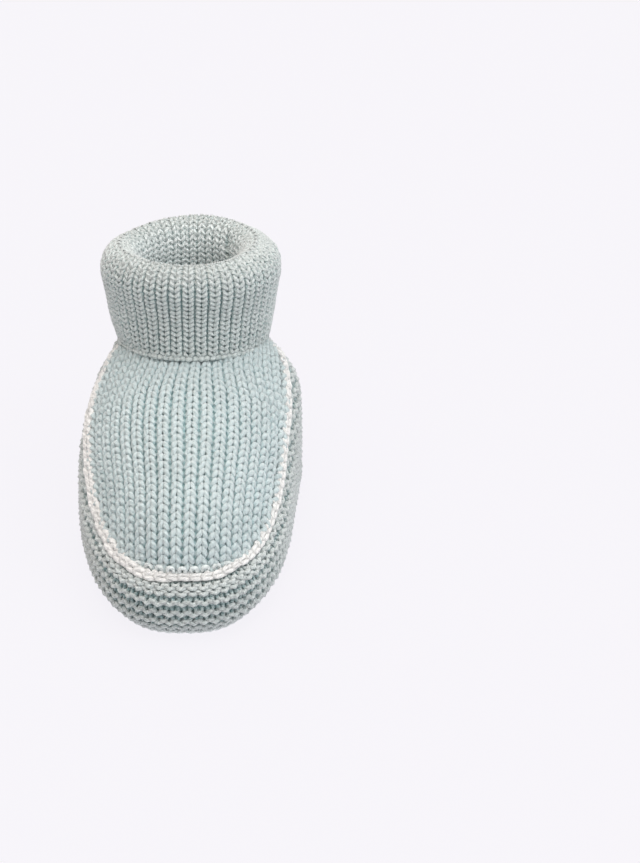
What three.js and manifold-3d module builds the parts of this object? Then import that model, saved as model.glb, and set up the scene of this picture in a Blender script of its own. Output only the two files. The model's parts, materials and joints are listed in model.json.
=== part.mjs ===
// Knitted baby bootie with a turned-down rib cuff.
// Millimetres, +Z up, toe towards -Y, heel towards +Y, standing on its sole at Z = 0.
import * as THREE from 'three';
import { mergeVertices } from 'three/addons/utils/BufferGeometryUtils.js';
import Module from 'manifold-3d';

// ---- Driving dimensions ---------------------------------------------------

// Widest plan outline of the foot: two half superellipses, measured from the toe tip.
const FOOT_WIDTH = 57.5;
const WIDEST_FROM_TOE = 60;
const HEEL_LENGTH = 52.5;
const TOE_ROUNDNESS = 2.62;
const TOE_TAPER = 0.083;
const HEEL_ROUNDNESS = 2.31;

// The middle line of the foot sways a little, as a foot does.
const TOE_SWAY = 0.5;
const TOE_SWAY_AT = 50;
const TOE_SWAY_REACH = 18;
const HEEL_SWAY = 1.85;
const HEEL_SWAY_FROM = 56;
const HEEL_SWAY_TO = 84;

// Side wall.
const WALL_THICKNESS = 3;
const BOTTOM_TUCK = 4.6;
const BOTTOM_TUCK_HEIGHT = 7;
const WALL_UPRIGHT_SHARE = 0.64;
const SHOULDER_POWER = 2.6;

// Seam between the wall and the instep.
const SEAM_TOE_HEIGHT = 16.4;
const SEAM_RISE = 22.7;
const SEAM_RISE_LENGTH = 77;
const SEAM_RISE_POWER = 2.36;
const SEAM_INSET = 3.1;
const SEAM_INSET_TOE = 1.6;
const SEAM_INSET_ANKLE = 1.95;
const SHOULDER_FROM = 76;
const SHOULDER_TO = 92;

// Instep panel.
const INSTEP_THICKNESS = 2.6;
const INSTEP_RISE = 28;
const INSTEP_LENGTH = 64;
const INSTEP_RISE_POWER = 0.42;
const INSTEP_LAST_ROW = 79;
const TOE_ROW_HALF_WIDTH = 13.5;

// Leg: its axis leans back, and distances along it are measured from the ankle.
const LEG_LEAN_DEG = 10.7;
const ANKLE_FROM_TOE = 87;
const ANKLE_HEIGHT = 40.4;
const ANKLE_RADIUS = 19.6;
const ANKLE_DROP = 1.5;
const LEG_OUTER_RADIUS = 18.3;
const LEG_INNER_RADIUS = 15.6;
const LEG_FOOT_AT = 1;
const LEG_TOP_AT = 19;
const CUFF_THICKNESS = 2.6;
const LEG_SEAM_DEG = 138;

// Yarns.
const EDGING_RADIUS = 0.85;
const BIND_OFF_RADIUS = 0.7;
const BIND_OFF_ABOVE_SEAM = 2;
const SEAM_YARN_RADIUS = 0.8;
const HEEL_YARN_RADIUS = 0.75;
const GAP = 0.32;

const SOLE_THICKNESS = 3.2;
const ROUND_SEGMENTS = 40;
const OUTLINE_SEGMENTS = 84;

// ---- Small helpers --------------------------------------------------------

const wasm = await Module();
wasm.setup();

const vector = (x, y, z) => new THREE.Vector3(x, y, z);
const clamp01 = (value) => Math.min(1, Math.max(0, value));

function smooth(value, from, to) {
  const t = clamp01((value - from) / (to - from));
  return t * t * (3 - 2 * t);
}

function toSolid(geometry) {
  const bare = geometry.clone();
  bare.deleteAttribute('normal');
  bare.deleteAttribute('uv');
  const merged = mergeVertices(bare, 1e-4);
  const mesh = new wasm.Mesh({
    numProp: 3,
    vertProperties: new Float32Array(merged.attributes.position.array),
    triVerts: new Uint32Array(merged.index.array),
  });
  return new wasm.Manifold(mesh);
}

function toGeometry(solid) {
  const mesh = solid.getMesh();
  const geometry = new THREE.BufferGeometry();
  geometry.setAttribute('position', new THREE.BufferAttribute(mesh.vertProperties, 3));
  geometry.setIndex(new THREE.BufferAttribute(mesh.triVerts, 1));
  return geometry;
}

// Largest body of a cut, so that slivers left at an edge are dropped.
function largestBody(solid) {
  const bodies = solid.decompose();
  return bodies.reduce((best, body) => (body.volume() > best.volume() ? body : best));
}

// Closed solid between two grids of points, with the outer grid facing out.
// The grids are indexed [u][v]; u may run round and close on itself.
function shell(outer, inner, closedU) {
  const rows = outer.length;
  const columns = outer[0].length;
  const positions = [];
  for (const grid of [outer, inner]) {
    for (const row of grid) {
      for (const point of row) positions.push(point.x, point.y, point.z);
    }
  }
  const at = (layer, u, v) => (layer * rows + (u % rows)) * columns + v;
  const index = [];
  const quad = (a, b, c, d) => index.push(a, b, c, a, c, d);
  const spans = closedU ? rows : rows - 1;
  for (let u = 0; u < spans; u += 1) {
    for (let v = 0; v < columns - 1; v += 1) {
      quad(at(0, u, v), at(0, u + 1, v), at(0, u + 1, v + 1), at(0, u, v + 1));
      quad(at(1, u, v), at(1, u, v + 1), at(1, u + 1, v + 1), at(1, u + 1, v));
    }
    const top = columns - 1;
    quad(at(0, u, 0), at(1, u, 0), at(1, u + 1, 0), at(0, u + 1, 0));
    quad(at(0, u, top), at(0, u + 1, top), at(1, u + 1, top), at(1, u, top));
  }
  if (!closedU) {
    const end = rows - 1;
    for (let v = 0; v < columns - 1; v += 1) {
      quad(at(0, 0, v), at(0, 0, v + 1), at(1, 0, v + 1), at(1, 0, v));
      quad(at(0, end, v), at(1, end, v), at(1, end, v + 1), at(0, end, v + 1));
    }
  }
  const geometry = new THREE.BufferGeometry();
  geometry.setAttribute('position', new THREE.Float32BufferAttribute(positions, 3));
  geometry.setIndex(index);
  return geometry;
}

// The grid moved along its outward normals by a distance (negative is inwards).
function offsetGrid(grid, distance, closedU) {
  const rows = grid.length;
  const columns = grid[0].length;
  const wrap = (u) => (closedU ? (u + rows) % rows : Math.min(rows - 1, Math.max(0, u)));
  return grid.map((row, u) => row.map((point, v) => {
    const alongU = grid[wrap(u + 1)][v].clone().sub(grid[wrap(u - 1)][v]);
    const alongV = row[Math.min(columns - 1, v + 1)].clone().sub(row[Math.max(0, v - 1)]);
    const normal = alongU.cross(alongV).normalize();
    return point.clone().addScaledVector(normal, distance);
  }));
}

function circleShape(radius, sides) {
  const shape = new THREE.Shape();
  for (let i = 0; i < sides; i += 1) {
    const angle = (i / sides) * Math.PI * 2;
    const x = radius * Math.cos(angle);
    const y = radius * Math.sin(angle);
    if (i === 0) shape.moveTo(x, y);
    else shape.lineTo(x, y);
  }
  shape.closePath();
  return shape;
}

function yarn(points, radius, steps, sides = 6) {
  const path = new THREE.CatmullRomCurve3(points);
  return new THREE.ExtrudeGeometry(circleShape(radius, sides), { steps, extrudePath: path });
}

// ---- Plan outline, from the heel round by the right side to the toe and back --

function middle(y) {
  const toe = TOE_SWAY * Math.exp(-(((y - TOE_SWAY_AT) / TOE_SWAY_REACH) ** 2));
  return HEEL_SWAY * smooth(y, HEEL_SWAY_FROM, HEEL_SWAY_TO) - toe;
}

function rawOutline(angle) {
  const forward = -Math.cos(angle);
  const side = Math.sin(angle);
  const power = 2 / (forward > 0 ? TOE_ROUNDNESS : HEEL_ROUNDNESS);
  const length = forward > 0 ? WIDEST_FROM_TOE : HEEL_LENGTH;
  const y = WIDEST_FROM_TOE - length * Math.sign(forward) * Math.abs(forward) ** power;
  const taper = 1 - TOE_TAPER * clamp01(1 - y / WIDEST_FROM_TOE);
  const x = (FOOT_WIDTH / 2) * taper * Math.sign(side) * Math.abs(side) ** power;
  return vector(x + middle(y), y, 0);
}

// Evenly spaced points of the outline, each with its inward direction.
function outlinePoints(count, startGap = 0) {
  const fine = [];
  const FINE = 4000;
  for (let i = 0; i <= FINE; i += 1) fine.push(rawOutline((i / FINE) * Math.PI * 2));
  const lengths = [0];
  for (let i = 1; i <= FINE; i += 1) lengths.push(lengths[i - 1] + fine[i].distanceTo(fine[i - 1]));
  const total = lengths[FINE];
  const usable = total - 2 * startGap;
  const spans = startGap > 0 ? count - 1 : count;
  let k = 0;
  const points = [];
  for (let i = 0; i < count; i += 1) {
    const wanted = startGap + (usable * i) / spans;
    while (k < FINE - 1 && lengths[k + 1] < wanted) k += 1;
    const t = (wanted - lengths[k]) / (lengths[k + 1] - lengths[k]);
    const point = fine[k].clone().lerp(fine[k + 1], t);
    const ahead = fine[(k + 3) % FINE];
    const behind = fine[(k - 3 + FINE) % FINE];
    const along = ahead.clone().sub(behind).normalize();
    points.push({ point, inward: vector(along.y, -along.x, 0) });
  }
  return points;
}

// ---- Leg frame --------------------------------------------------------------

const lean = THREE.MathUtils.degToRad(LEG_LEAN_DEG);
const legAxis = vector(0, Math.sin(lean), Math.cos(lean));
const legFront = vector(0, -Math.cos(lean), Math.sin(lean));
const ankle = vector(0, ANKLE_FROM_TOE, ANKLE_HEIGHT);

function onLeg(radius, along, side, front) {
  const point = ankle.clone().addScaledVector(legAxis, along);
  return point.add(vector(radius * side, 0, 0)).addScaledVector(legFront, radius * front);
}

// Puts a solid of revolution, made about +Y from the origin, onto the leg.
function placeOnLeg(geometry) {
  const turn = new THREE.Matrix4().makeRotationX(Math.PI / 2 - lean);
  geometry.applyMatrix4(turn);
  geometry.translate(ankle.x, ankle.y, ankle.z);
  return geometry;
}

function legRing(profile) {
  const points = profile.map(([r, along]) => new THREE.Vector2(r, along));
  points.push(points[0].clone());
  return placeOnLeg(new THREE.LatheGeometry(points, ROUND_SEGMENTS));
}

// ---- Top edge of the wall: the instep seam, then the back of the ankle -------

function topOf({ point, inward }) {
  const y = point.y;
  const toeShare = clamp01(1 - y / WIDEST_FROM_TOE);
  const ankleShare = Math.min(1.3, Math.max(0, (y - 60) / 17));
  const inset = SEAM_INSET + SEAM_INSET_TOE * toeShare ** 2 + SEAM_INSET_ANKLE * ankleShare ** 2;
  const climb = Math.min(1.02, y / SEAM_RISE_LENGTH) ** SEAM_RISE_POWER;
  const seam = point.clone().addScaledVector(inward, inset);
  seam.z = SEAM_TOE_HEIGHT + SEAM_RISE * climb;
  const away = point.clone().sub(vector(0, ANKLE_FROM_TOE, 0)).normalize();
  const ring = onLeg(ANKLE_RADIUS, -ANKLE_DROP, away.x, -away.y);
  return seam.lerp(ring, smooth(y, SHOULDER_FROM, SHOULDER_TO));
}

function wallPoint(station, top, share) {
  const z = top.z * share;
  const gather = clamp01((share - WALL_UPRIGHT_SHARE) / (1 - WALL_UPRIGHT_SHARE)) ** SHOULDER_POWER;
  const tuck = BOTTOM_TUCK * clamp01(1 - z / BOTTOM_TUCK_HEIGHT) ** 2.2;
  const point = station.point.clone().addScaledVector(station.inward, tuck);
  point.x += (top.x - station.point.x) * gather;
  point.y += (top.y - station.point.y) * gather;
  point.z = z;
  return point;
}

// ---- Instep surface ---------------------------------------------------------

const fineTop = outlinePoints(1440).map(topOf);
const toeIndex = fineTop.reduce((best, p, i) => (p.y < fineTop[best].y ? i : best), 0);
const toeTop = fineTop[toeIndex];
const rightSeam = fineTop.slice(0, toeIndex + 1).reverse();
const leftSeam = fineTop.slice(toeIndex);

// Where the row that crosses the middle at yMiddle meets the seam on one side.
function rowEnd(side, yMiddle) {
  const progress = (yMiddle - toeTop.y) / INSTEP_LENGTH;
  if (progress <= 0) return side.find((p) => Math.abs(p.x - middle(0)) > TOE_ROW_HALF_WIDTH);
  const curl = 0.034 * (1 - progress) + 0.012 * progress;
  const meets = (p) => Math.abs(p.x - middle(0)) > TOE_ROW_HALF_WIDTH
    && yMiddle + curl * (p.x - middle(yMiddle)) ** 2 <= p.y;
  return side.find((p) => meets(p) || p.y > 84);
}

function instepPoint(yMiddle, across) {
  const end = rowEnd(across > 0 ? rightSeam : leftSeam, yMiddle);
  const share = Math.abs(across);
  const x0 = middle(yMiddle);
  const progress = Math.max(0, (yMiddle - toeTop.y) / INSTEP_LENGTH);
  const crown = SEAM_TOE_HEIGHT + INSTEP_RISE * progress ** INSTEP_RISE_POWER;
  const arch = (1 - Math.min(1, share) ** 2.2) ** 0.75;
  return vector(
    x0 + (end.x - x0) * share,
    yMiddle + (end.y - yMiddle) * share ** 2,
    end.z + (crown - end.z) * arch,
  );
}

// Largest share across that keeps the panel's edge a set distance off the seam.
function edgeShare(yMiddle, side, distance) {
  const end = instepPoint(yMiddle, side);
  let share = 1;
  while (share > 0.8 && instepPoint(yMiddle, side * share).distanceTo(end) < distance) share -= 0.002;
  return share;
}

function instepGrid(firstRow, lastRow, edgeDistance, rows, columns) {
  const grid = [];
  for (let i = 0; i <= columns; i += 1) grid.push([]);
  for (let j = 0; j <= rows; j += 1) {
    const t = j / rows;
    const y = firstRow + (lastRow - firstRow) * t ** 1.5;
    const left = edgeShare(y, -1, edgeDistance);
    const right = edgeShare(y, 1, edgeDistance);
    for (let i = 0; i <= columns; i += 1) {
      const across = (2 * i) / columns - 1;
      const eased = Math.sin((across * Math.PI) / 2);
      grid[i].push(instepPoint(y, eased * (eased < 0 ? left : right)));
    }
  }
  return grid;
}

function instepSolid(grow) {
  const surface = instepGrid(
    toeTop.y + 0.4 - grow * 0.1,
    INSTEP_LAST_ROW + grow,
    EDGING_RADIUS + GAP - grow,
    16,
    18,
  );
  const outer = offsetGrid(surface, grow, false);
  const inner = offsetGrid(surface, -INSTEP_THICKNESS - grow, false);
  return toSolid(shell(outer, inner, false));
}

// ---- Clearances that neighbouring panels are cut back by ----------------------

function legCylinder(radius, from, to) {
  const cylinder = new THREE.CylinderGeometry(radius, radius, to - from, ROUND_SEGMENTS);
  cylinder.translate(0, (from + to) / 2, 0);
  return toSolid(placeOnLeg(cylinder));
}

const ankleHole = legCylinder(ANKLE_RADIUS - 0.5, -14, 30);
const cuffSeat = legCylinder(ANKLE_RADIUS + 2.6, -0.45, 30);

function edgingPath() {
  const reach = (p) => p.y < 80;
  const right = rightSeam.filter(reach).reverse();
  const left = leftSeam.filter(reach).slice(1);
  const all = [...right, ...left];
  const points = [];
  const COUNT = 56;
  for (let i = 0; i <= COUNT; i += 1) points.push(all[Math.round((i / COUNT) * (all.length - 1))]);
  return points;
}

function bindOffPath() {
  const points = [];
  const COUNT = 14;
  for (let i = 0; i <= COUNT; i += 1) {
    const across = (2 * i) / COUNT - 1;
    const point = instepPoint(toeTop.y, across * 0.96);
    points.push(point.add(vector(0, 0.1, BIND_OFF_ABOVE_SEAM)));
  }
  return points;
}

const edgingPoints = edgingPath();
const bindOffPoints = bindOffPath();
const edgingRoom = toSolid(yarn(edgingPoints, EDGING_RADIUS + GAP, 72));
const bindOffRoom = toSolid(yarn(bindOffPoints, BIND_OFF_RADIUS + GAP, 20));

// ---- Pieces -------------------------------------------------------------------

function sole() {
  const inset = BOTTOM_TUCK + 3.1;
  const shape = new THREE.Shape();
  outlinePoints(OUTLINE_SEGMENTS).forEach(({ point, inward }, i) => {
    const p = point.clone().addScaledVector(inward, inset);
    if (i === 0) shape.moveTo(p.x, p.y);
    else shape.lineTo(p.x, p.y);
  });
  shape.closePath();
  return new THREE.ExtrudeGeometry(shape, { depth: SOLE_THICKNESS, bevelEnabled: false });
}

function sideBand() {
  const heelGap = HEEL_YARN_RADIUS + GAP;
  const LEVELS = 8;
  const grid = outlinePoints(OUTLINE_SEGMENTS, heelGap).map((station) => {
    const top = topOf(station);
    const highest = 1 - (EDGING_RADIUS + GAP) / top.z;
    const column = [];
    for (let j = 0; j <= LEVELS; j += 1) {
      column.push(wallPoint(station, top, highest * (j / LEVELS) ** 1.25));
    }
    return column;
  });
  // The outline runs clockwise seen from above, so the surface is reversed to face out.
  grid.reverse();
  const inner = offsetGrid(grid, -WALL_THICKNESS, false);
  const wall = toSolid(shell(grid, inner, false));
  const instepRoom = instepSolid(GAP);
  const cut = wall.subtract(instepRoom).subtract(edgingRoom).subtract(ankleHole);
  return toGeometry(largestBody(cut.subtract(cuffSeat)));
}

function instep() {
  const trimmed = instepSolid(0).subtract(edgingRoom).subtract(bindOffRoom);
  return toGeometry(largestBody(trimmed.subtract(ankleHole).subtract(cuffSeat)));
}

function legTube() {
  return legRing([
    [LEG_INNER_RADIUS, LEG_FOOT_AT],
    [LEG_OUTER_RADIUS, LEG_FOOT_AT],
    [LEG_OUTER_RADIUS, 12],
    [LEG_OUTER_RADIUS - 0.5, LEG_TOP_AT],
    [LEG_INNER_RADIUS - 0.4, LEG_TOP_AT],
    [LEG_INNER_RADIUS, 12],
  ]);
}

// Fold over the top and the layer that hangs down outside it.
function turnedCuff() {
  return legRing([
    [15.1, LEG_TOP_AT + GAP],
    [17.7, LEG_TOP_AT + GAP],
    [17.9, 22.5],
    [18.9, 23.9],
    [20.1, 23.6],
    [20.9, 21.8],
    [20.9, 18.6],
    [20.3, 15],
    [19.6, 11],
    [19.1, 7],
    [19, 1.7],
    [19 + CUFF_THICKNESS, 1.7],
    [19 + CUFF_THICKNESS, 7],
    [22.2, 11.4],
    [22.9, 15.1],
    [23.5, 18.8],
    [23.6, 21.7],
    [22.8, 24.3],
    [21, 26.3],
    [18.7, 26.9],
    [16.4, 25],
    [15.3, 22],
  ]);
}

function cuffHem() {
  const profile = [];
  const SIDES = 8;
  for (let i = 0; i < SIDES; i += 1) {
    const angle = (i / SIDES) * Math.PI * 2;
    profile.push([20.3 + 1.3 * Math.cos(angle), 0.65 + 0.7 * Math.sin(angle)]);
  }
  return legRing(profile);
}

function soleSeamYarn() {
  const inset = BOTTOM_TUCK + 2;
  const points = outlinePoints(OUTLINE_SEGMENTS).map(({ point, inward }) => {
    const p = point.clone().addScaledVector(inward, inset);
    p.z = SEAM_YARN_RADIUS + 0.1;
    return p;
  });
  const loop = new THREE.CatmullRomCurve3(points, true);
  return new THREE.TubeGeometry(loop, OUTLINE_SEGMENTS, SEAM_YARN_RADIUS, 6, true);
}

function heelSeamYarn() {
  const station = { point: rawOutline(0), inward: vector(0, -1, 0) };
  const top = topOf(station);
  const points = [];
  for (let i = 0; i <= 10; i += 1) {
    const point = wallPoint(station, top, 0.08 + 0.87 * (i / 10));
    points.push(point.addScaledVector(station.inward, 1.1));
  }
  return yarn(points, HEEL_YARN_RADIUS, 14);
}

function ankleSeamYarn() {
  const profile = [];
  for (let i = 0; i < 6; i += 1) {
    const angle = (i / 6) * Math.PI * 2;
    profile.push([18 + SEAM_YARN_RADIUS * Math.cos(angle), -0.2 + SEAM_YARN_RADIUS * Math.sin(angle)]);
  }
  return legRing(profile);
}

// Ridge of the joining seam inside the leg, a little to one side of the back.
function legSeamYarn() {
  const angle = THREE.MathUtils.degToRad(LEG_SEAM_DEG);
  const points = [];
  for (let i = 0; i <= 6; i += 1) {
    const radius = LEG_INNER_RADIUS - 0.4 - SEAM_YARN_RADIUS - GAP;
    points.push(onLeg(radius, LEG_FOOT_AT + i * 2.9, Math.sin(angle), Math.cos(angle)));
  }
  return yarn(points, SEAM_YARN_RADIUS, 6);
}

// ---- Assembly -------------------------------------------------------------------

const wool = (color) => new THREE.MeshStandardMaterial({ color, roughness: 0.95, metalness: 0 });
const bandWool = wool(0xa9bab7);
const instepWool = wool(0xbfd3d3);
const cuffWool = wool(0xb4c1be);
const whiteWool = wool(0xe6e5e3);
const paleWool = wool(0xd5e2e2);

const pieces = [
  ['sole', sole(), bandWool],
  ['side_band', sideBand(), bandWool],
  ['instep', instep(), instepWool],
  ['leg_tube', legTube(), cuffWool],
  ['turned_cuff', turnedCuff(), cuffWool],
  ['cuff_hem', cuffHem(), cuffWool],
  ['instep_edging', yarn(edgingPoints, EDGING_RADIUS, 72), whiteWool],
  ['toe_bind_off', yarn(bindOffPoints, BIND_OFF_RADIUS, 20), paleWool],
  ['sole_seam_yarn', soleSeamYarn(), bandWool],
  ['heel_seam_yarn', heelSeamYarn(), bandWool],
  ['ankle_seam_yarn', ankleSeamYarn(), cuffWool],
  ['leg_seam_yarn', legSeamYarn(), cuffWool],
];

// The origin is the middle of the ground that the whole bootie covers.
const bounds = new THREE.Box3();
for (const [, geometry] of pieces) {
  geometry.computeBoundingBox();
  bounds.union(geometry.boundingBox);
}
const centre = bounds.getCenter(new THREE.Vector3());

const bootie = new THREE.Group();
for (const [name, geometry, material] of pieces) {
  const mesh = new THREE.Mesh(geometry, material);
  mesh.name = name;
  mesh.position.set(-centre.x, -centre.y, -bounds.min.z);
  bootie.add(mesh);
}

export default bootie;
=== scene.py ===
"""Knitted baby bootie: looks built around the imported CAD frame.

Every knitted panel is made of real yarn loops. A course of loops is one strand that runs
over a curved surface, and the surfaces repeat the shapes of the CAD solids. Lengths are in
millimetres in the bootie's own frame (toe tip at Y = 0, heel towards +Y) until a mesh is made.
"""

import json
import math

import bpy
import numpy as np
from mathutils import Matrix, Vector

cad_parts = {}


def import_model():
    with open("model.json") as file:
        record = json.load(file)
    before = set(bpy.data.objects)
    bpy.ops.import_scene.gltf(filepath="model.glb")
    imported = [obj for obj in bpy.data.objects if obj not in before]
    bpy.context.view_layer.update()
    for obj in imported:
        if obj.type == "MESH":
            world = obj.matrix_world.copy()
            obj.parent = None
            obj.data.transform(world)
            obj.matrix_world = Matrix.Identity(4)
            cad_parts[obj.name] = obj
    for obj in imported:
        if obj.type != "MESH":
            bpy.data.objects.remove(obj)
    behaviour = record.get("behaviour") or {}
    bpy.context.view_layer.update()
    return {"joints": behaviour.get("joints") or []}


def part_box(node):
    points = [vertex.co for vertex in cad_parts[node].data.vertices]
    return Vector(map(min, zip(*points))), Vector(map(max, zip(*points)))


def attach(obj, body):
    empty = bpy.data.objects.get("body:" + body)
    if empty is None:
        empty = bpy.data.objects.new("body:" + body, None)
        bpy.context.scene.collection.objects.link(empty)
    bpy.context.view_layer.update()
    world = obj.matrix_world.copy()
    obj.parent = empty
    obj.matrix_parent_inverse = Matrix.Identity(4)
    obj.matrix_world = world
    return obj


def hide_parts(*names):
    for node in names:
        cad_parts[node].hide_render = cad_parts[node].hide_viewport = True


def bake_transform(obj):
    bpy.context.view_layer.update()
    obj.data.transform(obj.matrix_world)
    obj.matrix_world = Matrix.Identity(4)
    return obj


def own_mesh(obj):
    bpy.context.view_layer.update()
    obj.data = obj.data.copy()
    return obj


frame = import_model()

# ---- Driving dimensions, as in the CAD source ------------------------------------------

FOOT_WIDTH = 57.5
WIDEST_FROM_TOE = 60.0
HEEL_LENGTH = 52.5
TOE_ROUNDNESS = 2.62
TOE_TAPER = 0.083
HEEL_ROUNDNESS = 2.31
BOTTOM_TUCK = 4.6
BOTTOM_TUCK_HEIGHT = 7.0
WALL_UPRIGHT_SHARE = 0.64
SHOULDER_POWER = 2.6
SEAM_TOE_HEIGHT = 16.4
SEAM_RISE = 22.7
SEAM_RISE_POWER = 2.36
SEAM_INSET = 3.1
SEAM_INSET_TOE = 1.6
SEAM_INSET_ANKLE = 1.95
INSTEP_RISE = 28.0
INSTEP_LENGTH = 64.0
TOE_ROW_HALF_WIDTH = 13.5
ANKLE_RADIUS = 19.6
ANKLE_DROP = 1.5
SOLE_INSET = 7.7

# ---- The knitting ----------------------------------------------------------------------

GARTER_ROW = 1.46
GARTER_STITCH = 3.05
INSTEP_ROW = 2.36
INSTEP_HALF_COLUMNS = 9.0
INSTEP_STITCH = 3.45
RIB_PAIRS = 42
RIB_ROW = 1.42
RIB_KNIT_SHARE = 0.86
SAMPLES = 12
SIDES = 6

MM = 0.001
TURN = 2 * math.pi
rng = np.random.default_rng(11)


def millimetres(point):
    return np.array(point, float) / MM


def box_middle(node):
    low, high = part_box(node)
    return (millimetres(low) + millimetres(high)) / 2


# The joint runs along the leg, and the ankle seam is a ring square to it.
leg_axis = np.array(frame["joints"][0]["axis"], float)
leg_front = np.array([0.0, -leg_axis[2], leg_axis[1]])
origin = np.array([
    box_middle("turned_cuff")[0],
    millimetres(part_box("sole")[0])[1] - SOLE_INSET,
    0.0,
])
ankle = box_middle("ankle_seam_yarn") + 0.2 * leg_axis - origin
ankle[0] = 0.0


def world(points):
    return (np.asarray(points, float) + origin) * MM


def smooth(value, start, end):
    t = np.clip((np.asarray(value, float) - start) / (end - start), 0, 1)
    return t * t * (3 - 2 * t)


# ---- Outline and top edge of the wall --------------------------------------------------


def middle(y):
    return 1.85 * smooth(y, 56, 84) - 0.5 * np.exp(-(((np.asarray(y, float) - 50) / 18) ** 2))


def outline(count):
    """Evenly spaced plan points, heel to toe by the right and back, with inward directions."""
    angle = np.linspace(0, TURN, 4001)
    forward = -np.cos(angle)
    side = np.sin(angle)
    power = 2 / np.where(forward > 0, TOE_ROUNDNESS, HEEL_ROUNDNESS)
    length = np.where(forward > 0, WIDEST_FROM_TOE, HEEL_LENGTH)
    y = WIDEST_FROM_TOE - length * np.sign(forward) * np.abs(forward) ** power
    taper = 1 - TOE_TAPER * np.clip(1 - y / WIDEST_FROM_TOE, 0, 1)
    x = FOOT_WIDTH / 2 * taper * np.sign(side) * np.abs(side) ** power + middle(y)
    along = np.concatenate([[0], np.cumsum(np.hypot(np.diff(x), np.diff(y)))])
    at = np.linspace(0, along[-1], count + 1)[:-1]
    points = np.stack([np.interp(at, along, x), np.interp(at, along, y)], axis=1)
    tangent = np.roll(points, -2, axis=0) - np.roll(points, 2, axis=0)
    tangent /= np.linalg.norm(tangent, axis=1)[:, None]
    inward = np.stack([tangent[:, 1], -tangent[:, 0]], axis=1)
    return points, inward, along[-1]


def on_leg(radius, along, side, front):
    """Points round the leg; side and front are the parts of a unit direction."""
    radius, along, side, front = np.broadcast_arrays(radius, along, side, front)
    return (
        ankle
        + along[..., None] * leg_axis
        + (radius * side)[..., None] * np.array([1.0, 0, 0])
        + (radius * front)[..., None] * leg_front
    )


def top_edge(points, inward):
    y = points[:, 1]
    toe_share = np.clip(1 - y / WIDEST_FROM_TOE, 0, 1)
    ankle_share = np.clip((y - 60) / 17, 0, 1.3)
    inset = SEAM_INSET + SEAM_INSET_TOE * toe_share ** 2 + SEAM_INSET_ANKLE * ankle_share ** 2
    seam = np.zeros((len(points), 3))
    seam[:, :2] = points + inward * inset[:, None]
    seam[:, 2] = SEAM_TOE_HEIGHT + SEAM_RISE * np.clip(y / 77, 0, 1.02) ** SEAM_RISE_POWER
    away = points - ankle[:2]
    away /= np.linalg.norm(away, axis=1)[:, None]
    ring = on_leg(ANKLE_RADIUS, -ANKLE_DROP, away[:, 0], -away[:, 1])
    share = smooth(y, 76, 92)[:, None]
    return seam * (1 - share) + ring * share


# ---- A surface read at any place -------------------------------------------------------


class Cloth:
    """A surface on an even grid, read at (across, up) with a height above it."""

    def __init__(self, points, start, step, wrap=False, flip=False):
        self.points = points
        self.start = start
        self.step = step
        self.wrap = wrap
        if wrap:
            padded = np.concatenate([points[-1:], points, points[:1]])
            across = (padded[2:] - padded[:-2])
        else:
            across = np.gradient(points, axis=0)
        normal = np.cross(across, np.gradient(points, axis=1))
        normal /= np.linalg.norm(normal, axis=2)[..., None] + 1e-9
        self.normals = -normal if flip else normal

    def at(self, across, up, lift=0.0):
        i = (np.asarray(across, float) - self.start[0]) / self.step[0]
        j = (np.asarray(up, float) - self.start[1]) / self.step[1]
        rows, columns = self.points.shape[:2]
        if not self.wrap:
            i = np.clip(i, 0, rows - 1.001)
        j = np.clip(j, 0, columns - 1.001)
        i0 = np.floor(i).astype(int)
        j0 = np.floor(j).astype(int)
        a = (i - i0)[..., None]
        b = (j - j0)[..., None]
        i1 = i0 + 1
        if self.wrap:
            i0, i1 = i0 % rows, i1 % rows
        out = []
        for grid in (self.points, self.normals):
            low = grid[i0, j0] * (1 - a) + grid[i1, j0] * a
            high = grid[i0, j0 + 1] * (1 - a) + grid[i1, j0 + 1] * a
            out.append(low * (1 - b) + high * b)
        place, normal = out
        normal = normal / (np.linalg.norm(normal, axis=-1)[..., None] + 1e-9)
        return place + normal * np.asarray(lift, float)[..., None], normal


# ---- Strands ---------------------------------------------------------------------------


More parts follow.
